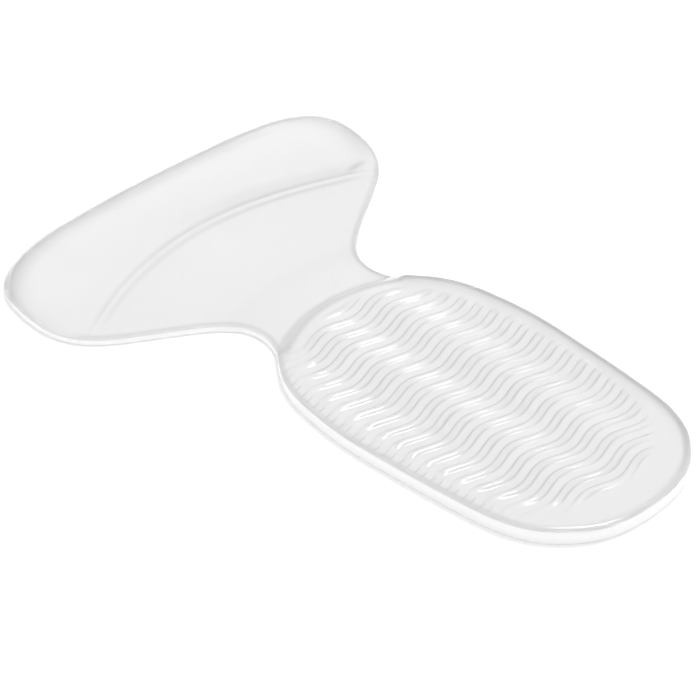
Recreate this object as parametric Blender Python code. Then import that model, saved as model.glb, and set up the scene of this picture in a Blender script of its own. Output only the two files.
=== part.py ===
"""Clear gel heel pad, one soft moulding lying on its flat underside.

The sole is an oval with wavy ribs across it, a narrow waist joins it to the wing,
and the wing carries a crescent cushion along its top edge.
+Y points from the sole to the wing, +Z points up, and the origin is the centre of
the underside's box.
"""

from collections import namedtuple
from math import pi

import bmesh
import bpy
import numpy as np

# Outline, in metres
SOLE_LENGTH = 0.0750
WING_LENGTH = 0.0444
SOLE_WIDTH = 0.0449
WAIST_WIDTH = 0.0255
WING_WIDTH = 0.0762

# Thicknesses above the flat underside
SHEET_THICKNESS = 0.0014
SOLE_FAR_THICKNESS = 0.0030
SOLE_NEAR_THICKNESS = 0.0023
CUSHION_RISE = 0.0037

# The edge: how wide its rounded shoulder is and how much of the thickness is upright
# wall, and how far in from the edge the cushion rolls over
EDGE_ROUND = 0.0010
EDGE_WALL_SHARE = 0.80
CUSHION_ROLL = 0.0058

# The sole's upper rim, an arc that crosses the waist
RIM_SET_BACK = 0.0010
RIM_SAG = 0.0038
RIM_STEP = 0.0014

# The crease where the wing's thin sheet meets the cushion
CREASE_SET_BACK = 0.0175
CREASE_SAG = 0.0090
CREASE_WIDTH = 0.0013
CREASE_STEP = 0.00016
CUSHION_POWER = 1.5

# Ribs across the sole, which fade out at the edge of an oval field
RIB_PITCH = 0.00324
RIB_HEIGHT = 0.00035
RIB_CREST_WIDTH = 0.0011
RIB_FOOT_WIDTH = 0.0017
RIB_FADE = 0.0018
FIRST_RIB = 0.00795
FIELD_SIDE_MARGIN = 0.0029
FIELD_END_MARGIN = 0.0055
FIELD_RIM_MARGIN = 0.0035
FIELD_POWER = 2.6
WAVE_LENGTH = 0.0127
WAVE_RISE = 0.00145
WAVE_CREST = -0.0057

# Mesh density
STEPS_PER_SPAN = 12
INNER_COLUMNS = 28
EDGE_COLUMN_SHARES = (0.0, 0.12, 0.45, 1.0)

LENGTH = SOLE_LENGTH + WING_LENGTH
RIM_APEX = SOLE_LENGTH - RIM_SET_BACK
RIM_SIDE = RIM_APEX - RIM_SAG
CREASE_APEX = LENGTH - CREASE_SET_BACK
CREASE_SIDE = CREASE_APEX - CREASE_SAG

# along: share of the part's length from its start. swell: share of the way from the
# narrower half width at that part's start or end to its widest half width.
Station = namedtuple("Station", "along swell")

# From the far end to the widest place, along as a share of SOLE_LENGTH, and swell
# from the middle line out to half of SOLE_WIDTH
SOLE_END = (
    Station(0.000, 0.000),
    Station(0.008, 0.270),
    Station(0.026, 0.450),
    Station(0.062, 0.625),
    Station(0.120, 0.793),
    Station(0.200, 0.896),
    Station(0.320, 0.947),
    Station(0.460, 0.981),
    Station(0.600, 1.000),
)

# From the widest place up to the waist, with swell from half of WAIST_WIDTH
SOLE_SHOULDER = (
    Station(0.720, 0.918),
    Station(0.800, 0.780),
    Station(0.860, 0.550),
    Station(0.920, 0.183),
    Station(0.960, 0.033),
    Station(1.000, 0.000),
)

# From the waist to the widest place of the wing, along as a share of WING_LENGTH,
# and swell from half of WAIST_WIDTH to half of WING_WIDTH
WING_SIDE = (
    Station(0.068, 0.032),
    Station(0.134, 0.130),
    Station(0.202, 0.290),
    Station(0.336, 0.658),
    Station(0.404, 0.808),
    Station(0.471, 0.905),
    Station(0.565, 0.977),
    Station(0.673, 1.000),
)

# From there over the top edge, with swell from the middle line
WING_TOP = (
    Station(0.770, 0.986),
    Station(0.856, 0.936),
    Station(0.926, 0.838),
    Station(0.967, 0.716),
    Station(0.990, 0.540),
    Station(0.997, 0.330),
    Station(0.999, 0.160),
    Station(1.000, 0.000),
)

# Rows of the mesh are curves across the pad. centre and side are stations, and power
# says how late towards the side the row bends away from its centre's station.
KeyRow = namedtuple("KeyRow", "centre side power")
SOLE_CORNER_SHARE = 0.080
WING_CORNER_SHARE = 0.780
RIB_ROW_POWER = 2.5
ARC_POWER = 2.0
TOP_ROW_POWER = 4.5

# Shares of the stretches between two key rows at which plain rows lie
RIM_ROWS = (0.0, 0.35, 0.65, 1.0)
SHEET_ROWS = (0.06, 0.12, 0.18, 0.24, 0.30, 0.37, 0.44, 0.52, 0.61, 0.71, 0.82, 0.93, 0.985)
CUSHION_ROWS = (0.13, 0.23, 0.34, 0.45, 0.56, 0.67, 0.77, 0.86)


def ease(share):
    """Smooth step from 0 to 1."""
    share = np.clip(share, 0.0, 1.0)
    return share * share * (3.0 - 2.0 * share)


def quarter_round(share):
    """Rise of a quarter circle from 0 to 1."""
    return np.sqrt(1.0 - (1.0 - np.clip(share, 0.0, 1.0)) ** 2)


def dome(share):
    """Rise of a parabola from 0 to 1, level at its top."""
    return 1.0 - (1.0 - np.clip(share, 0.0, 1.0)) ** 2


def field_share(across, along):
    """Share of a rib's height in the ribbed field, 1 inside and 0 past its oval edge."""
    start, end = FIELD_END_MARGIN, RIM_APEX - FIELD_RIM_MARGIN
    half_breadth = SOLE_WIDTH / 2 - FIELD_SIDE_MARGIN
    lengthwise = (2 * along - start - end) / (end - start)
    off = np.abs(across / half_breadth) ** FIELD_POWER + np.abs(lengthwise) ** FIELD_POWER
    return ease((1.0 - off ** (1.0 / FIELD_POWER)) * half_breadth / RIB_FADE)


def outline_half():
    """Right side of the outline, from the far end's middle to the top edge's middle."""
    sole, waist, wing = SOLE_WIDTH / 2, WAIST_WIDTH / 2, WING_WIDTH / 2
    points = [(s.swell * sole, s.along * SOLE_LENGTH) for s in SOLE_END]
    points += [(waist + s.swell * (sole - waist), s.along * SOLE_LENGTH) for s in SOLE_SHOULDER]
    points += [(waist + s.swell * (wing - waist), SOLE_LENGTH + s.along * WING_LENGTH) for s in WING_SIDE]
    points += [(s.swell * wing, SOLE_LENGTH + s.along * WING_LENGTH) for s in WING_TOP]
    before, after = points[1], points[-2]
    knots = np.array([(-before[0], before[1])] + points + [(-after[0], after[1])])
    gaps = np.linalg.norm(np.diff(knots, axis=0), axis=1)
    slopes = (knots[2:] - knots[:-2]) / (gaps[1:] + gaps[:-1])[:, None]
    share = np.linspace(0.0, 1.0, STEPS_PER_SPAN, endpoint=False)[:, None]
    curve = []
    for start, end, gap, leave, arrive in zip(knots[1:-2], knots[2:-1], gaps[1:-1], slopes[:-1], slopes[1:]):
        blend = share * share * (3.0 - 2.0 * share)
        lean = share * (1.0 - share) ** 2 * leave - share * share * (1.0 - share) * arrive
        curve.append(start + (end - start) * blend + lean * gap)
    curve.append(knots[-2:-1])
    return np.concatenate(curve)


OUTLINE = outline_half()
SOLE_WIDEST = int(np.argmax(np.where(OUTLINE[:, 1] < SOLE_LENGTH, OUTLINE[:, 0], 0.0)))
WING_WIDEST = int(np.argmax(OUTLINE[:, 0]))


def half_width(station):
    return np.interp(station, OUTLINE[:, 1], OUTLINE[:, 0])


def end_station(across):
    """Station of the sole's far end at a distance from the middle line."""
    return np.interp(np.abs(across), OUTLINE[:SOLE_WIDEST, 0], OUTLINE[:SOLE_WIDEST, 1])


def top_station(across):
    """Station of the wing's top edge at a distance from the middle line."""
    return np.interp(np.abs(across), OUTLINE[:WING_WIDEST:-1, 0], OUTLINE[:WING_WIDEST:-1, 1])


def rim_station(across):
    reach = half_width(RIM_SIDE)
    return RIM_APEX - RIM_SAG * (across / reach) ** 2


def crease_station(across):
    reach = half_width(CREASE_SIDE)
    return CREASE_APEX - CREASE_SAG * (across / reach) ** 2


def distance_to(points, line):
    """Shortest distance from each point to a line of short straight runs."""
    starts, runs = line[:-1], np.diff(line, axis=0)
    offsets = points[:, None, :] - starts[None, :, :]
    shares = np.clip((offsets * runs).sum(axis=2) / (runs * runs).sum(axis=1), 0.0, 1.0)
    return np.linalg.norm(offsets - shares[:, :, None] * runs, axis=2).min(axis=1)


def rib_centres():
    """Stations of the ribs' centre lines, up to the last one that clears the rim's border."""
    room = RIM_APEX - FIELD_RIM_MARGIN - FIRST_RIB
    return FIRST_RIB + RIB_PITCH * np.arange(int(room / RIB_PITCH) + 1)


def key_rows():
    ribs = rib_centres()
    first, last = ribs[0] - RIB_FOOT_WIDTH / 2, ribs[-2] + RIB_FOOT_WIDTH / 2
    corner = SOLE_CORNER_SHARE * SOLE_LENGTH
    return (
        KeyRow(0.0, corner, RIB_ROW_POWER),
        KeyRow(first, max(first, corner) + RIB_FADE, RIB_ROW_POWER),
        KeyRow(first + 2 * RIB_PITCH, first + 2 * RIB_PITCH, RIB_ROW_POWER),
        KeyRow(last, min(last, RIM_SIDE - RIB_PITCH), ARC_POWER),
        KeyRow(RIM_APEX, RIM_SIDE, ARC_POWER),
        KeyRow(CREASE_APEX, CREASE_SIDE, ARC_POWER),
        KeyRow(LENGTH, SOLE_LENGTH + WING_CORNER_SHARE * WING_LENGTH, TOP_ROW_POWER),
    )


def row_stations():
    """Centre station of every row, from the far end to the top edge, with its share of a rib's height."""
    rows = [(share * EDGE_ROUND, 0.0) for share in EDGE_COLUMN_SHARES]
    rows.append((FIELD_SIDE_MARGIN, 0.0))
    rows.append((FIELD_END_MARGIN, 0.0))
    for centre in rib_centres():
        rows.append((centre - RIB_FOOT_WIDTH / 2, 0.0))
        rows.append((centre - RIB_CREST_WIDTH / 2, 1.0))
        rows.append((centre + RIB_CREST_WIDTH / 2, 1.0))
        rows.append((centre + RIB_FOOT_WIDTH / 2, 0.0))
    rows += [(RIM_APEX - (1.0 - share) * RIM_STEP, 0.0) for share in RIM_ROWS]
    sheet = CREASE_APEX - RIM_APEX
    rows += [(RIM_APEX + share * sheet, 0.0) for share in SHEET_ROWS]
    rows += [(CREASE_APEX, 0.0), (CREASE_APEX + CREASE_WIDTH, 0.0)]
    rows += [(CREASE_APEX + share * CREASE_SET_BACK, 0.0) for share in CUSHION_ROWS]
    rows += [(LENGTH - share * EDGE_ROUND, 0.0) for share in reversed(EDGE_COLUMN_SHARES)]
    return rows


def column_shares(half):
    """Places across a row as shares of its half width: close steps at both edges, even steps between."""
    edge = [share * EDGE_ROUND for share in EDGE_COLUMN_SHARES] + [FIELD_SIDE_MARGIN]
    inner = np.linspace(-1.0, 1.0, INNER_COLUMNS + 1) * (1.0 - (FIELD_SIDE_MARGIN + RIB_FADE) / half)
    left = np.array(edge) / half - 1.0
    return np.concatenate([left, inner, -left[::-1]])


def wave(across):
    return WAVE_RISE / 2 * np.cos(2 * pi * (across - WAVE_CREST) / WAVE_LENGTH)


def plan_points():
    """Rows of plan points (across, station), and each row's share of a rib's height."""
    keys = key_rows()
    centres = [key.centre for key in keys]
    stations = row_stations()
    rows = []
    for number, (centre, level) in enumerate(stations):
        side = np.interp(centre, centres, [key.side for key in keys])
        power = np.interp(centre, centres, [key.power for key in keys])
        half = half_width(side)
        shares = column_shares(half)
        across = shares * half
        along = centre + (side - centre) * np.abs(shares) ** power
        if number == 0:
            along = end_station(across)
        elif number == len(stations) - 1:
            along = top_station(across)
        elif FIRST_RIB / 2 < centre < RIM_APEX - RIM_STEP:
            along = along + wave(across) * ease((1.0 - np.abs(shares)) * half / FIELD_SIDE_MARGIN)
        rows.append(np.column_stack([across, along]))
    return np.array(rows), np.array([level for _, level in stations])


def top_heights(points, levels):
    """Height of the top surface at plan points."""
    across, along = points[:, 0], points[:, 1]
    sides = np.concatenate([OUTLINE * (-1.0, 1.0), OUTLINE[-2::-1]])
    edge = distance_to(points, sides)
    reach = half_width(RIM_SIDE)
    arc = np.linspace(-reach, reach, 2 * STEPS_PER_SPAN)
    rim = distance_to(points, np.column_stack([arc, rim_station(arc)]))
    rim = np.where(along < rim_station(across), rim, 0.0)

    sole = np.interp(along, [0.0, RIM_APEX], [SOLE_FAR_THICKNESS, SOLE_NEAR_THICKNESS])
    base = SHEET_THICKNESS + (sole - SHEET_THICKNESS) * quarter_round(rim / RIM_STEP)
    base = base * (EDGE_WALL_SHARE + (1.0 - EDGE_WALL_SHARE) * quarter_round(edge / EDGE_ROUND))

    crease = crease_station(across)
    past = np.where(along > SOLE_LENGTH, along - crease, 0.0)
    depth = np.maximum(top_station(across) - crease, CREASE_WIDTH)
    swell = CREASE_STEP * ease(past / CREASE_WIDTH)
    swell += CUSHION_RISE * np.clip(past / depth, 0.0, 1.0) ** CUSHION_POWER
    cushion = swell * dome(edge / CUSHION_ROLL)
    return base + cushion + RIB_HEIGHT * levels * field_share(across, along)


def gel_pad_mesh():
    rows, levels = plan_points()
    row_count, column_count = rows.shape[:2]
    flat = rows.reshape(-1, 2)
    heights = top_heights(flat, np.repeat(levels, column_count))
    mesh = bmesh.new()
    top = []
    for (across, along), height in zip(flat, heights):
        top.append(mesh.verts.new((across, along - LENGTH / 2, height)))
    grid = [top[start:start + column_count] for start in range(0, len(top), column_count)]
    for lower, upper in zip(grid, grid[1:]):
        for column in range(column_count - 1):
            mesh.faces.new((lower[column], lower[column + 1], upper[column + 1], upper[column]))

    border = list(grid[0])
    border += [row[-1] for row in grid[1:]]
    border += grid[-1][-2::-1]
    border += [row[0] for row in grid[-2:0:-1]]
    foot = [mesh.verts.new((vert.co.x, vert.co.y, 0.0)) for vert in border]
    for place, vert in enumerate(border):
        follow = (place + 1) % len(border)
        mesh.faces.new((vert, foot[place], foot[follow], border[follow]))
    mesh.faces.new(foot[::-1])
    for face in mesh.faces:
        face.smooth = True
    data = bpy.data.meshes.new("gel_pad")
    mesh.to_mesh(data)
    mesh.free()
    data.set_sharp_from_angle(angle=pi / 5)
    return data


def clear_gel():
    gel = bpy.data.materials.new("clear_gel")
    gel.use_nodes = True
    shader = gel.node_tree.nodes["Principled BSDF"]
    shader.inputs["Base Color"].default_value = (0.93, 0.94, 0.94, 1.0)
    shader.inputs["Roughness"].default_value = 0.12
    shader.inputs["Metallic"].default_value = 0.0
    shader.inputs["IOR"].default_value = 1.41
    shader.inputs["Transmission Weight"].default_value = 0.85
    return gel


for leftover in list(bpy.data.objects):
    bpy.data.objects.remove(leftover)

gel_pad = bpy.data.objects.new("gel_pad", gel_pad_mesh())
gel_pad.data.materials.append(clear_gel())
bpy.context.scene.collection.objects.link(gel_pad)
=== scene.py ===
"""Looks of a clear gel heel pad: one soft moulding with a ribbed oval sole, a waist and a cushioned wing."""

from collections import namedtuple
from math import pi

import bpy
import numpy as np
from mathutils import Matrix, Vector


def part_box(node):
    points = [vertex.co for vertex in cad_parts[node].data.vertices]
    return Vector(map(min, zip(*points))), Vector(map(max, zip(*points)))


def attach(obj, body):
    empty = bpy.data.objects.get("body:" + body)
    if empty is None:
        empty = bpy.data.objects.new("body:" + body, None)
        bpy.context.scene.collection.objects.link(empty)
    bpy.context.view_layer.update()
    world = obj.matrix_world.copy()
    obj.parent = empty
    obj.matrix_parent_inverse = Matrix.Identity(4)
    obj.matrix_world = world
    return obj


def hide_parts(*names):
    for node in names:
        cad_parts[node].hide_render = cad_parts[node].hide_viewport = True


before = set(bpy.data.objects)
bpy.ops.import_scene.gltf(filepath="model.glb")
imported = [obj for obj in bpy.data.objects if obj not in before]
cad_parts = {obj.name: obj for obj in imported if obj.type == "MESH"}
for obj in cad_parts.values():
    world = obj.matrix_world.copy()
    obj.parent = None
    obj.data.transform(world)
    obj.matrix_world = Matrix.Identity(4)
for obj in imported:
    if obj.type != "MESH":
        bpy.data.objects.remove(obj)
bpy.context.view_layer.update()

LOW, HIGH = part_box("gel_pad")
LENGTH = HIGH.y - LOW.y
MM = 0.001

# The camera stands at the photograph's place, in metres from the middle of the pad's underside
CAMERA_PLACE = Vector((-0.3455, -0.3379, 0.3862))
CAMERA_AIM = Vector((0.5525, 0.5514, -0.6251))
CAMERA_LENS = 194.5
CAMERA_SENSOR = 36.0

# Places on the pad are given across its middle line and along it from the sole's far end.
# A span is where something starts and over what length it grows from 0 to 1.
Span = namedtuple("Span", "start run")

# Thicknesses of the gel over its flat underside
SHEET_THICKNESS = 1.4 * MM
SOLE_FAR_THICKNESS = 3.0 * MM
SOLE_NEAR_THICKNESS = 2.3 * MM
CUSHION_RISE = 3.7 * MM

# The edge: an upright wall, a rounded shoulder over it and a small round at its foot
EDGE_ROUND = 1.0 * MM
EDGE_WALL_SHARE = 0.80
CUSHION_ROLL = 5.8 * MM
FOOT_ROUND = 0.25 * MM
NEXT_TO_EDGE = 1.3 * EDGE_ROUND

# The sole's upper rim, an arc across the pad where the sole steps down to the waist
WAIST_STATION = 75.0 * MM
RIM_STATION = 74.0 * MM
RIM_SAG = 3.8 * MM
RIM_STEP = 2.6 * MM

# The wing's crease, an arc with a thin bead, from which the cushion swells
CREASE_STATION = 101.9 * MM
CREASE_SAG = 9.0 * MM
CREASE_WIDTH = 1.3 * MM
CREASE_BEAD = 0.16 * MM
BEAD_FULLNESS = 1.4
CUSHION_POWER = 1.5
UPPER_WING = CREASE_STATION - 2.0 * CREASE_SAG

# A faint swell across the neck
NECK_SWELL = 0.10 * MM
NECK_STATION = 81.0 * MM
NECK_SAG = 0.5 * RIM_SAG
NECK_WIDTH = 3.0 * MM

# Ribs, which fade at the edge of an oval field to low tails that run on to the left side
RIB_PITCH = 3.24 * MM
RIB_HEIGHT = 0.35 * MM
RIB_CREST = 0.10 * MM
RIB_FOOT = 1.05 * MM
RIB_FADE = 1.8 * MM
FIRST_RIB = 7.95 * MM
RIB_COUNT = 20
LAST_RIB = FIRST_RIB + RIB_PITCH * (RIB_COUNT - 1)
FIELD_SIDE_MARGIN = 2.9 * MM
FIELD_END_MARGIN = 5.5 * MM
FIELD_RIM_MARGIN = 3.5 * MM
FIELD_POWER = 2.6
TAIL_SHARE = 0.30
TAIL_MARGIN = 0.6 * MM
TAIL_END_SLOPE = 1.6

# The wave of the ribs, which starts near the far end and dies out at the rim
WAVE_LENGTH = 12.7 * MM
WAVE_RISE = 1.45 * MM
WAVE_CREST = -5.7 * MM
WAVE_START = 2.0 * MM
WAVE_RUN = 3.2 * MM

# The soft pad lies a little askew. At each station of the wing its left and right sides move
# to the right by these amounts, and at each place across it moves up by these
WING_STATIONS = np.array((78.0, 90.0, 97.0, 104.0, 108.0, 112.0, 116.0, 120.0)) * MM
LEFT_SHIFTS = np.array((0.0, -0.3, 0.4, 1.3, 1.6, 1.3, 0.8, 0.6)) * MM
RIGHT_SHIFTS = np.array((0.0, -0.4, 0.05, 0.7, 1.1, 1.2, 0.8, 0.3)) * MM
WING_PLACES = np.array((-38.0, -30.0, -20.0, -5.0, 8.0, 15.0, 25.0, 33.0, 38.0)) * MM
WING_RISES = np.array((0.2, 0.5, 0.85, 0.6, -0.1, -0.6, -1.2, -1.1, -0.6)) * MM
WING_RISE_SPAN = Span(78.0 * MM, 34.0 * MM)
SOLE_TUCK = 0.35 * MM
TUCK_RUN = 12.0 * MM

# Lines of painted shade in the gel's colour, where its steep and curved surfaces look dark: how far the
# middle of each lies from its form, its reach to both sides of that, and its strength
ShadeLine = namedtuple("ShadeLine", "middle reach strength")
# Painted shade along the pad's edge and along the step of the sole's rim
EDGE_LINE = ShadeLine(0.6 * MM, 0.75 * MM, 0.26)
RIGHT_EDGE_LINE = ShadeLine(0.9 * MM, 0.9 * MM, 0.40)
RIM_FOOT_LINE = ShadeLine(1.2 * MM, 1.2 * MM, 0.12)
RIM_TOP_LINE = ShadeLine(2.5 * MM, 1.1 * MM, 0.34)
# Painted shade: two lines at the crease and a band at the cushion's foot
CREASE_LOWER_LINE = ShadeLine(-0.4 * MM, 0.8 * MM, 0.27)
CREASE_UPPER_LINE = ShadeLine(1.3 * MM, 0.9 * MM, 0.27)
CUSHION_FOOT_BAND = ShadeLine(2.8 * MM, 2.8 * MM, 0.12)
# Painted shade in a faint band across the neck
NECK_SHADE_BAND = ShadeLine(0.0, 4.0 * MM, 0.05)
# Painted shade lines at the ribs' flanks
SHALLOW_RIB_LINE = ShadeLine(0.75 * MM, 0.3 * MM, 0.12)
STEEP_RIB_LINE = ShadeLine(0.75 * MM, 0.3 * MM, 0.26)
# Painted dark ticks at the sole's left edge, standing in for the ribs seen through the rim
LEFT_TICK_SHADE = ShadeLine(1.5 * MM, 1.3 * MM, 0.9)
# Painted shade of a dimple at the crease's right end; no dent is modelled
DIMPLE_SHADE_ALONG = ShadeLine(97.0 * MM, 0.9 * MM, 0.45)
DIMPLE_SHADE_ACROSS = ShadeLine(31.2 * MM, 3.0 * MM, 1.0)
# A faint painted shade over the ribs' bodies, growing over this run at their feet
RIB_SHADE = 0.05
RIB_SHADE_RUN = 0.2 * MM
# An even darkening of the whole sole's colour
SOLE_DARKENING = 0.02

# Where those painted shade lines fade in, and the painted shade on the cushion's shoulder, strongest at the
# wing's top
RIGHT_SIDE_SPAN = Span(0.0, 12.0 * MM)
TICK_SHADE_SPAN = Span(12.0 * MM, 8.0 * MM)
CREASE_END_SPAN = Span(2.0 * MM, 4.0 * MM)
CREASE_ACROSS_SPAN = Span(-30.0 * MM, 50.0 * MM)
CREASE_LEFT_SHARE = 0.45
CUSHION_FOOT_SPAN = Span(-10.0 * MM, 20.0 * MM)
CUSHION_SPAN = Span(0.0, 5.0 * MM)
SHOULDER_SPAN = Span(0.0, 6.2 * MM)
SHOULDER_SHADE = 0.02
TOP_SHOULDER_SHADE = 0.46
TOP_SPAN = Span(106.5 * MM, 10.0 * MM)
RIGHT_TIP_SHARE = 0.5
RIGHT_TIP_ACROSS = Span(0.0, 30.0 * MM)
RIGHT_TIP_ALONG = Span(96.0 * MM, 8.0 * MM)

# The gel's clear tint and the grey of its painted shade in linear colour, how much its cloud and grain vary
# it, and its glossy skin
GEL_IOR = 1.41
CLEAR_TINT = (0.996, 0.996, 0.996, 1.0)
SHADE_TINT = (0.26, 0.26, 0.26, 1.0)
CLOUD_WEIGHT = 0.01
CLOUD_SCALE = 70.0
CLOUD_DETAIL = 2.0
CLOUD_DEPTH = 0.05 * MM
GRAIN_SCALE = 900.0
GRAIN_DETAIL = 3.0
ROUGHNESS_SPREAD = 0.05
SKIN_WEIGHT = 1.0
SKIN_ROUGHNESS = 0.06

# Three finishes of the gel. The wall's and the underside's go on faces that point up less than these.
Finish = namedtuple("Finish", "name clearness roughness")
TOP_FINISH = Finish("clear_gel", 0.68, 0.30)
WALL_FINISH = Finish("gel_rim", 0.12, 0.3)
UNDERSIDE_FINISH = Finish("gel_underside", 0.4, 0.45)
WALL_FACING = 0.35
UNDERSIDE_FACING = -0.9

# The studio: a pale floor, a sky that is brighter overhead than at its horizon, and a softbox
FLOOR_SIZE = 6.0
FLOOR_GAP = 0.02 * MM
FLOOR_TINT = (0.97, 0.97, 0.97, 1.0)
FLOOR_ROUGHNESS = 0.9
SKY_HORIZON = 0.525
SKY_RISE = 0.70
SOFTBOX_PLACE = Vector((0.35, 0.05, 0.93))
SOFTBOX_WIDTH = 0.38
SOFTBOX_HEIGHT = 0.15
SOFTBOX_POWER = 3.5

# Mesh density
OUTLINE_STEPS = 8
ARC_STEPS = 60
INNER_COLUMNS = 72
EDGE_STEPS = np.array((0.0, 0.03, 0.08, 0.16, 0.27, 0.42, 0.6, 0.8, 1.0))
EDGE_COLUMNS = np.append(EDGE_STEPS, (1.3, 1.6))
RIB_HALF_ROWS = np.array((1.3, 1.1, 0.98, 0.88, 0.78, 0.68, 0.57, 0.44, 0.3, 0.15)) * MM
SMOOTH_ANGLE = pi / 5

# Plain rows of points, spread evenly from station to station
Stretch = namedtuple("Stretch", "start end rows")
STRETCHES = (
    Stretch(NEXT_TO_EDGE, FIRST_RIB - RIB_PITCH / 2, 9),
    Stretch(LAST_RIB + 0.6 * RIB_PITCH, RIM_STATION + 0.4 * MM, 16),
    Stretch(RIM_STATION + 1.0 * MM, CREASE_STATION - CREASE_WIDTH, 34),
    Stretch(CREASE_STATION - 0.5 * CREASE_WIDTH, CREASE_STATION + CREASE_WIDTH, 9),
    Stretch(CREASE_STATION + 1.3 * CREASE_WIDTH, LENGTH - NEXT_TO_EDGE, 36),
)

# Rows are curves across the pad. centre and side are stations, and power says how late
# towards the side a row bends away from its centre's station.
KeyRow = namedtuple("KeyRow", "centre side power")
THIRD_RIB = FIRST_RIB + 2 * RIB_PITCH
FIELD_TOP = LAST_RIB - RIB_PITCH + RIB_FOOT
KEY_ROWS = (
    KeyRow(0.0, 6.0 * MM, 2.5),
    KeyRow(FIRST_RIB - RIB_FOOT, 8.6 * MM, 2.5),
    KeyRow(THIRD_RIB, THIRD_RIB, 2.5),
    KeyRow(FIELD_TOP, FIELD_TOP, 2.0),
    KeyRow(RIM_STATION, RIM_STATION - RIM_SAG, 2.0),
    KeyRow(CREASE_STATION, CREASE_STATION - CREASE_SAG, 2.0),
    KeyRow(LENGTH, 109.8 * MM, 4.5),
)


def camera_at_photo():
    data = bpy.data.cameras.new("camera")
    data.lens = CAMERA_LENS
    data.sensor_width = CAMERA_SENSOR
    camera = bpy.data.objects.new("camera", data)
    camera.location = CAMERA_PLACE
    camera.rotation_euler = CAMERA_AIM.to_track_quat("-Z", "Y").to_euler()
    bpy.context.scene.collection.objects.link(camera)
    bpy.context.scene.camera = camera


def ease(share):
    share = np.clip(share, 0.0, 1.0)
    return share * share * (3.0 - 2.0 * share)


def ramp(place, span):
    """Smooth growth from 0 to 1 over a span."""
    return ease((place - span.start) / span.run)


def shade_line(place, line):
    """A painted shade line's strength at a distance from its form."""
    return line.strength * ease(1.0 - np.abs(place - line.middle) / line.reach)


def quarter_round(share):
    return np.sqrt(1.0 - (1.0 - np.clip(share, 0.0, 1.0)) ** 2)


def dome(share):
    return 1.0 - (1.0 - np.clip(share, 0.0, 1.0)) ** 2


def smooth_loop(knots, steps):
    """A closed smooth curve through the knots."""
    before, after, later = np.roll(knots, 1, 0), np.roll(knots, -1, 0), np.roll(knots, -2, 0)
    gap = np.linalg.norm(after - knots, axis=1)
    leave = (after - before) / (gap + np.linalg.norm(knots - before, axis=1))[:, None]
    arrive = (later - knots) / (gap + np.linalg.norm(later - after, axis=1))[:, None]
    share = np.linspace(0.0, 1.0, steps, endpoint=False)[None, :, None]
    blend = share * share * (3.0 - 2.0 * share)
    lean = share * (1.0 - share) ** 2 * leave[:, None] - share * share * (1.0 - share) * arrive[:, None]
    curve = knots[:, None] + (after - knots)[:, None] * blend + lean * gap[:, None, None]
    return curve.reshape(-1, 2)


def merged_copy(node):
    """A copy of a CAD node's mesh with its loose triangles joined."""
    bpy.ops.object.select_all(action="DESELECT")
    copy = bpy.data.objects[node].copy()
    copy.data = copy.data.copy()
    bpy.context.scene.collection.objects.link(copy)
    bpy.context.view_layer.objects.active = copy
    copy.select_set(True)
    bpy.ops.object.mode_set(mode="EDIT")
    bpy.ops.mesh.select_all(action="SELECT")
    bpy.ops.mesh.remove_doubles(threshold=0.000001)
    bpy.ops.object.mode_set(mode="OBJECT")
    mesh = copy.data
    bpy.data.objects.remove(copy)
    return mesh


def underside_corners():
    """The corners of the CAD solid's flat underside in order round its edge."""
    mesh = merged_copy("gel_pad")
    count = {}
    for polygon in (p for p in mesh.polygons if p.normal.z < -0.99):
        for key in polygon.edge_keys:
            count[key] = count.get(key, 0) + 1
    follow = {}
    for start, end in (key for key in count if count[key] == 1):
        follow.setdefault(start, []).append(end)
        follow.setdefault(end, []).append(start)
    first = min(follow, key=lambda v: (round(mesh.vertices[v].co.y, 5), abs(mesh.vertices[v].co.x)))
    walk = [first, max(follow[first], key=lambda v: mesh.vertices[v].co.x)]
    while len(walk) < len(follow):
        ahead = [v for v in follow[walk[-1]] if v != walk[-2]]
        walk.append(ahead[0])
    points = np.array([mesh.vertices[v].co.xy for v in walk])
    bpy.data.meshes.remove(mesh)
    return points - (0.0, LOW.y)


class Pad:
    """Plan curves of the pad, from its outline."""

    def __init__(self, corners):
        loop = smooth_loop(corners, OUTLINE_STEPS)
        self.loop = np.concatenate([loop, loop[:1]])
        half = loop[loop[:, 0] >= 0.0]
        self.half = half[np.argsort(half[:, 1])]
        sole = self.half[self.half[:, 1] < WAIST_STATION]
        wing = self.half[self.half[:, 1] > WAIST_STATION]
        self.end = sole[: int(np.argmax(sole[:, 0]))]
        self.top = wing[: int(np.argmax(wing[:, 0])) : -1]
        self.wing_half = self.half[:, 0].max()
        self.sole_half = self.end[-1, 0]

    def half_width(self, station):
        return np.interp(station, self.half[:, 1], self.half[:, 0])

    def end_station(self, across):
        return np.interp(np.abs(across), self.end[:, 0], self.end[:, 1])

    def top_station(self, across):
        return np.interp(np.abs(across), self.top[:, 0], self.top[:, 1])

    def arc_station(self, across, apex, sag):
        """Station of an arc that sags from its apex to the pad's sides."""
        return apex - sag * (across / self.half_width(apex - sag)) ** 2


def distance_to(points, line):
    """Shortest distance from each point to a line of short straight runs."""
    starts, runs = line[:-1], np.diff(line, axis=0)
    length = np.maximum((runs * runs).sum(axis=1), 1e-18)
    found = np.empty(len(points))
    for first in range(0, len(points), 2000):
        part = slice(first, first + 2000)
        offsets = points[part, None, :] - starts[None, :, :]
        shares = np.clip((offsets * runs).sum(axis=2) / length, 0.0, 1.0)
        found[part] = np.linalg.norm(offsets - shares[:, :, None] * runs, axis=2).min(axis=1)
    return found


def wave_angle(across):
    return 2 * pi * (across - WAVE_CREST) / WAVE_LENGTH


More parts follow.
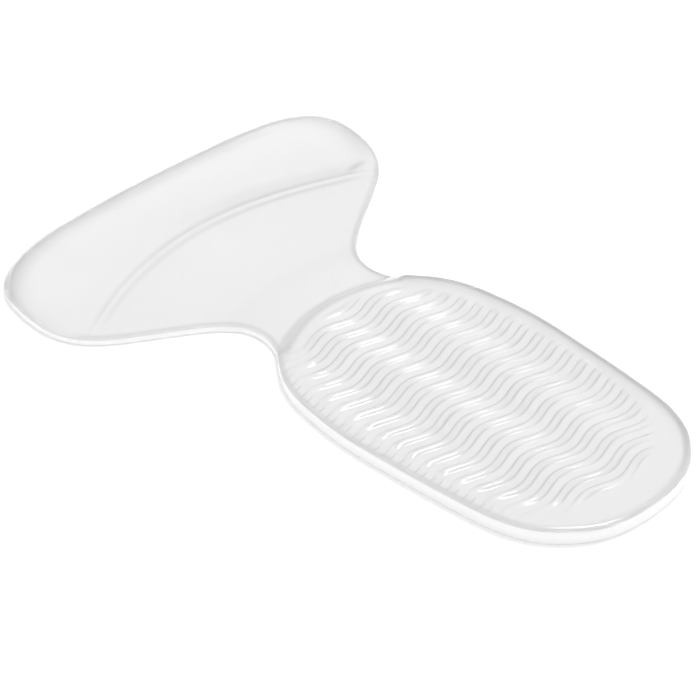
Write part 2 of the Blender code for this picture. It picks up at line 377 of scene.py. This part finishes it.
def row_centres():
    """Stations of the rows of points on the pad's middle line: close over the ribs and the edges."""
    over_rib = np.concatenate([-RIB_HALF_ROWS, [0.0], RIB_HALF_ROWS, [RIB_PITCH / 2]])
    rows = [EDGE_STEPS * EDGE_ROUND, LENGTH - EDGE_STEPS * EDGE_ROUND]
    rows += [FIRST_RIB + RIB_PITCH * number + over_rib for number in range(RIB_COUNT)]
    rows += [np.linspace(*stretch) for stretch in STRETCHES]
    return np.sort(np.concatenate(rows))


def plan_points(pad, centres):
    """Rows of points over the whole pad, each as (across, station)."""
    key_centres = [key.centre for key in KEY_ROWS]
    edge = EDGE_COLUMNS * EDGE_ROUND
    rows = []
    for number, centre in enumerate(centres):
        side = np.interp(centre, key_centres, [key.side for key in KEY_ROWS])
        power = np.interp(centre, key_centres, [key.power for key in KEY_ROWS])
        half = pad.half_width(side)
        inner = np.linspace(-1.0, 1.0, INNER_COLUMNS + 1) * (1.0 - 2.0 * EDGE_ROUND / half)
        shares = np.concatenate([edge / half - 1.0, inner, 1.0 - edge[::-1] / half])
        across = shares * half
        along = centre + (side - centre) * np.abs(shares) ** power
        if number == 0:
            along = pad.end_station(across)
        elif number == len(centres) - 1:
            along = pad.top_station(across)
        else:
            inside = (1.0 - np.abs(shares)) * half - EDGE_ROUND
            swing = ease((centre - WAVE_START) / WAVE_RUN) * ease((RIM_STATION - centre) / WAVE_RUN)
            swing = swing * ease(inside / FIELD_SIDE_MARGIN)
            along = along + WAVE_RISE / 2 * np.cos(wave_angle(across)) * swing
        rows.append(np.column_stack([across, along]))
    return np.array(rows)


# What the heights and the painted shade go by at each point: its place across and along, its
# distance in from the edge and from the rim, its distance past the crease and from the nearest
# rib, and whether it is on the sole
Spot = namedtuple("Spot", "across along edge rim past off_rib on_sole")


def spots(pad, points, off_rib):
    across, along = points[:, 0], points[:, 1]
    on_sole = along < pad.arc_station(across, RIM_STATION, RIM_SAG)
    reach = pad.half_width(RIM_STATION - RIM_SAG)
    arc = np.linspace(-reach, reach, ARC_STEPS)
    rim = distance_to(points, np.column_stack([arc, pad.arc_station(arc, RIM_STATION, RIM_SAG)]))
    past = np.where(along > WAIST_STATION, along - pad.arc_station(across, CREASE_STATION, CREASE_SAG), 0.0)
    return Spot(across, along, distance_to(points, pad.loop), rim * on_sole, past, off_rib, on_sole)


def askew(pad, points):
    """Points moved to where they lie in the photograph: the wing turned, the sole's right side tucked in."""
    across, along = points[:, 0], points[:, 1]
    sideways = np.clip(across / pad.wing_half, -1.0, 1.0)
    left = np.interp(along, WING_STATIONS, LEFT_SHIFTS)
    right = np.interp(along, WING_STATIONS, RIGHT_SHIFTS)
    aside = left + (right - left) * (0.5 + 0.5 * sideways)
    tuck = ease(along / TUCK_RUN) * ease((RIM_STATION - along) / TUCK_RUN)
    aside -= SOLE_TUCK * tuck * np.clip(across, 0.0, None) / pad.sole_half
    rise = np.interp(across, WING_PLACES, WING_RISES) * ramp(along, WING_RISE_SPAN)
    return np.column_stack([across + aside, along + rise])


def field_share(pad, spot):
    """Share of a rib's height: 1 in the oval field, a low tail to its left and 0 at the pad's edge."""
    start, end = FIELD_END_MARGIN, RIM_STATION - FIELD_RIM_MARGIN
    half_length = (end - start) / 2
    half_breadth = pad.sole_half - FIELD_SIDE_MARGIN
    lengthwise = np.abs((spot.along - (start + end) / 2) / half_length) ** FIELD_POWER
    off = np.abs(spot.across / half_breadth) ** FIELD_POWER + lengthwise
    field = ease((1.0 - off ** (1.0 / FIELD_POWER)) * half_breadth / RIB_FADE)
    tail = TAIL_SHARE * (spot.across < 0.0) * ease(TAIL_END_SLOPE * (1.0 - lengthwise))
    return np.maximum(field, tail * ease((spot.edge - TAIL_MARGIN) / TAIL_MARGIN))


def heights(pad, spot):
    """Height of the gel's top surface."""
    sole = np.interp(spot.along, [0.0, RIM_STATION], [SOLE_FAR_THICKNESS, SOLE_NEAR_THICKNESS])
    base = SHEET_THICKNESS + (sole - SHEET_THICKNESS) * ease(spot.rim / RIM_STEP)
    base = base * (EDGE_WALL_SHARE + (1.0 - EDGE_WALL_SHARE) * quarter_round(spot.edge / EDGE_ROUND))
    neck = spot.along - pad.arc_station(spot.across, NECK_STATION, NECK_SAG)
    base += NECK_SWELL * ease(1.0 - np.abs(neck) / NECK_WIDTH) * ease(spot.edge / NECK_WIDTH)
    crease = pad.arc_station(spot.across, CREASE_STATION, CREASE_SAG)
    depth = np.maximum(pad.top_station(spot.across) - crease, CREASE_WIDTH)
    swell = CUSHION_RISE * np.clip(spot.past / depth, 0.0, 1.0) ** CUSHION_POWER
    on_bead = 1.0 - np.abs(2.0 * spot.past / CREASE_WIDTH - 1.0)
    swell += CREASE_BEAD * ease(BEAD_FULLNESS * on_bead) * (spot.past > 0.0)
    cushion = swell * dome(spot.edge / CUSHION_ROLL)
    rib = ease((RIB_FOOT - spot.off_rib) / (RIB_FOOT - RIB_CREST))
    return base + cushion + RIB_HEIGHT * rib * field_share(pad, spot)


def edge_shade(spot, on_cushion):
    """Painted shade along the pad's edge and the sole's upper rim."""
    edge = shade_line(spot.edge, EDGE_LINE) * (1.0 - on_cushion)
    right_edge = shade_line(spot.edge, RIGHT_EDGE_LINE) * spot.on_sole * ramp(spot.across, RIGHT_SIDE_SPAN)
    rim = (shade_line(spot.rim, RIM_FOOT_LINE) + shade_line(spot.rim, RIM_TOP_LINE)) * spot.on_sole
    return np.maximum(np.maximum(edge, right_edge), rim)


def wing_shade(pad, spot, on_cushion):
    """Painted shade at the crease, a painted dark spot for a dimple at its right end, a band across the neck
    and the cushion's shoulder.
    """
    crease = shade_line(spot.past, CREASE_LOWER_LINE) + shade_line(spot.past, CREASE_UPPER_LINE)
    crease += shade_line(spot.past, CUSHION_FOOT_BAND) * ramp(spot.across, CUSHION_FOOT_SPAN)
    across_share = CREASE_LEFT_SHARE + (1.0 - CREASE_LEFT_SHARE) * ramp(spot.across, CREASE_ACROSS_SPAN)
    crease *= ramp(spot.edge, CREASE_END_SPAN) * across_share * (spot.along > UPPER_WING)
    dimple_shade = shade_line(spot.along, DIMPLE_SHADE_ALONG) * shade_line(spot.across, DIMPLE_SHADE_ACROSS)
    neck = shade_line(spot.along - pad.arc_station(spot.across, NECK_STATION, NECK_SAG), NECK_SHADE_BAND)
    right_tip = RIGHT_TIP_SHARE * ramp(spot.across, RIGHT_TIP_ACROSS) * ramp(spot.along, RIGHT_TIP_ALONG)
    strength = SHOULDER_SHADE + TOP_SHOULDER_SHADE * np.maximum(ramp(spot.along, TOP_SPAN), right_tip)
    shoulder = on_cushion * strength * (1.0 - ramp(spot.edge, SHOULDER_SPAN))
    return crease + dimple_shade + neck * (1.0 - spot.on_sole) + shoulder


def rib_shade(pad, spot):
    """Painted shade on the ribs: at their flanks, most where the wave is steep, faintly over their bodies,
    and in painted dark ticks at the left.
    """
    steep = 0.5 - 0.5 * np.sin(wave_angle(spot.across))
    ribs = RIB_SHADE * ease((RIB_FOOT - spot.off_rib) / RIB_SHADE_RUN)
    ribs += shade_line(spot.off_rib, SHALLOW_RIB_LINE) + steep * shade_line(spot.off_rib, STEEP_RIB_LINE)
    tick_shade = shade_line(spot.edge, LEFT_TICK_SHADE) * (spot.across < 0.0) * ramp(spot.along, TICK_SHADE_SPAN) * spot.on_sole
    return ribs * np.maximum(field_share(pad, spot), tick_shade) + SOLE_DARKENING * spot.on_sole


def milkiness(pad, spot):
    """How much shade is painted into the gel's colour, from 0 where it is clear to 1."""
    on_cushion = ramp(spot.past, CUSHION_SPAN) * (spot.along > UPPER_WING)
    shade_level = edge_shade(spot, on_cushion) + wing_shade(pad, spot, on_cushion) + rib_shade(pad, spot)
    return np.clip(shade_level, 0.0, 1.0)


def gel_moulding():
    """The whole pad: a grid over the plan, raised, with walls drawn down to a flat underside."""
    pad = Pad(underside_corners())
    centres = row_centres()
    plan = plan_points(pad, centres)
    row_count, column_count = plan.shape[:2]
    flat = plan.reshape(-1, 2)
    ribs = FIRST_RIB + RIB_PITCH * np.arange(RIB_COUNT)
    off_rib = np.abs(centres[:, None] - ribs).min(axis=1)
    spot = spots(pad, flat, np.repeat(off_rib, column_count))

    bpy.ops.object.select_all(action="DESELECT")
    cells = {"x_subdivisions": column_count - 1, "y_subdivisions": row_count - 1}
    bpy.ops.mesh.primitive_grid_add(size=LENGTH, **cells)
    piece = bpy.context.active_object
    piece.name = "gel_moulding"
    places = np.column_stack([askew(pad, flat) + (0.0, LOW.y), heights(pad, spot)])
    piece.data.vertices.foreach_set("co", places.ravel())
    # Painted shade: the grey level that darkens the base colour at each point
    shade_level = piece.data.attributes.new("milkiness", "FLOAT", "POINT")
    shade_level.data.foreach_set("value", milkiness(pad, spot))
    piece.data.update()
    bpy.ops.object.mode_set(mode="EDIT")
    bpy.ops.mesh.select_mode(type="FACE")
    bpy.ops.mesh.select_all(action="SELECT")
    bpy.ops.mesh.region_to_loop()
    bpy.ops.mesh.extrude_edges_move()
    bpy.ops.object.mode_set(mode="OBJECT")
    for vertex in piece.data.vertices:
        if vertex.select:
            vertex.co.z = 0.0
    bpy.ops.object.mode_set(mode="EDIT")
    bpy.ops.mesh.edge_face_add()
    bpy.ops.mesh.bevel(offset=FOOT_ROUND, segments=3, profile=0.5, affect="EDGES")
    bpy.ops.mesh.select_all(action="SELECT")
    bpy.ops.mesh.normals_make_consistent(inside=False)
    bpy.ops.object.mode_set(mode="OBJECT")
    # No painted shade at the foot of the wall
    for vertex, level in zip(piece.data.vertices, piece.data.attributes["milkiness"].data):
        if vertex.co.z < 1.1 * FOOT_ROUND:
            level.value = 0.0
    bpy.ops.object.shade_smooth_by_angle(angle=SMOOTH_ANGLE)
    return piece


class Shade:
    """A value in a material. Arithmetic on it adds the Math nodes that it needs."""

    def __init__(self, tree, socket=None):
        self.tree, self.socket = tree, socket

    def node(self, kind, settings, inputs, output=0):
        """Any other node, from its type, its settings, and the values or links of its sockets."""
        made = self.tree.nodes.new(kind)
        for name, value in settings.items():
            setattr(made, name, value)
        for name, value in inputs.items():
            if isinstance(value, Shade):
                self.tree.links.new(value.socket, made.inputs[name])
            else:
                made.inputs[name].default_value = value
        return Shade(self.tree, made.outputs[output])

    def math(self, operation, first, second):
        return self.node("ShaderNodeMath", {"operation": operation}, {0: first, 1: second})

    def __add__(self, other):
        return self.math("ADD", self, other)

    def __mul__(self, other):
        return self.math("MULTIPLY", self, other)

    __radd__, __rmul__ = __add__, __mul__


def gel_material(finish):
    """Gel with a faint cloud in it, an uneven body under a glossy skin, and darker where shade is painted
    into its colour.
    """
    gel = bpy.data.materials.new(finish.name)
    gel.use_nodes = True
    tree = gel.node_tree
    shader = tree.nodes["Principled BSDF"]
    shader.inputs["IOR"].default_value = GEL_IOR
    shader.inputs["Transmission Weight"].default_value = finish.clearness
    shader.inputs["Coat Weight"].default_value = SKIN_WEIGHT
    shader.inputs["Coat Roughness"].default_value = SKIN_ROUGHNESS
    shader.inputs["Coat IOR"].default_value = GEL_IOR
    start = Shade(tree)
    place = start.node("ShaderNodeTexCoord", {}, {}, "Object")
    coarse = {"Vector": place, "Scale": CLOUD_SCALE, "Detail": CLOUD_DETAIL}
    cloud = start.node("ShaderNodeTexNoise", {}, coarse)
    fine = {"Vector": place, "Scale": GRAIN_SCALE, "Detail": GRAIN_DETAIL}
    grain = start.node("ShaderNodeTexNoise", {}, fine)
    # The painted shade level mixes the clear tint towards the grey shade tint
    shade_level = start.node("ShaderNodeAttribute", {"attribute_name": "milkiness"}, {}, "Fac")
    mixed = {0: shade_level + cloud * CLOUD_WEIGHT, 6: CLEAR_TINT, 7: SHADE_TINT}
    tint = start.node("ShaderNodeMix", {"data_type": "RGBA"}, mixed, 2)
    roughness = grain * ROUGHNESS_SPREAD + (finish.roughness - ROUGHNESS_SPREAD / 2)
    uneven = start.node("ShaderNodeBump", {}, {"Strength": 1.0, "Distance": CLOUD_DEPTH, "Height": cloud})
    tree.links.new(tint.socket, shader.inputs["Base Color"])
    tree.links.new(roughness.socket, shader.inputs["Roughness"])
    tree.links.new(uneven.socket, shader.inputs["Normal"])
    return gel


def finish_faces(piece):
    """Clear gel on top, a less clear wall and a frosted underside, each on the faces that point its way."""
    for finish in (TOP_FINISH, WALL_FINISH, UNDERSIDE_FINISH):
        piece.data.materials.append(gel_material(finish))
    for polygon in piece.data.polygons:
        if polygon.normal.z < UNDERSIDE_FACING:
            polygon.material_index = 2
        elif polygon.normal.z < WALL_FACING:
            polygon.material_index = 1


def studio_floor():
    bpy.ops.object.select_all(action="DESELECT")
    bpy.ops.mesh.primitive_plane_add(size=FLOOR_SIZE, location=(0.0, 0.0, -FLOOR_GAP))
    floor = bpy.context.active_object
    floor.name = "floor"
    paint = bpy.data.materials.new("pale_floor")
    paint.use_nodes = True
    shader = paint.node_tree.nodes["Principled BSDF"]
    shader.inputs["Base Color"].default_value = FLOOR_TINT
    shader.inputs["Roughness"].default_value = FLOOR_ROUGHNESS
    floor.data.materials.append(paint)


def studio_sky():
    world = bpy.data.worlds.new("studio")
    world.use_nodes = True
    sky = world.node_tree.nodes["Background"]
    sky.inputs["Color"].default_value = (1.0, 1.0, 1.0, 1.0)
    start = Shade(world.node_tree)
    direction = start.node("ShaderNodeTexCoord", {}, {}, "Generated")
    height = start.node("ShaderNodeSeparateXYZ", {}, {"Vector": direction}, "Z")
    brightness = height.math("MAXIMUM", height, 0.0) * SKY_RISE + SKY_HORIZON
    world.node_tree.links.new(brightness.socket, sky.inputs["Strength"])
    bpy.context.scene.world = world


def softbox():
    light = bpy.data.lights.new("softbox", "AREA")
    light.shape = "RECTANGLE"
    light.size, light.size_y = SOFTBOX_WIDTH, SOFTBOX_HEIGHT
    light.energy = SOFTBOX_POWER
    lamp = bpy.data.objects.new("softbox", light)
    lamp.location = SOFTBOX_PLACE
    lamp.rotation_euler = (-SOFTBOX_PLACE).to_track_quat("-Z", "Y").to_euler()
    bpy.context.scene.collection.objects.link(lamp)


def light_paths():
    """Room for the many bounces that light takes inside the gel, and plain tones."""
    paths = bpy.context.scene.cycles
    paths.max_bounces = 32
    paths.diffuse_bounces = 16
    paths.glossy_bounces = 12
    paths.transmission_bounces = 24
    bpy.context.scene.view_settings.view_transform = "Standard"


camera_at_photo()
studio_floor()
studio_sky()
softbox()
light_paths()
gel = gel_moulding()
finish_faces(gel)
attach(gel, "root")
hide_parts("gel_pad")
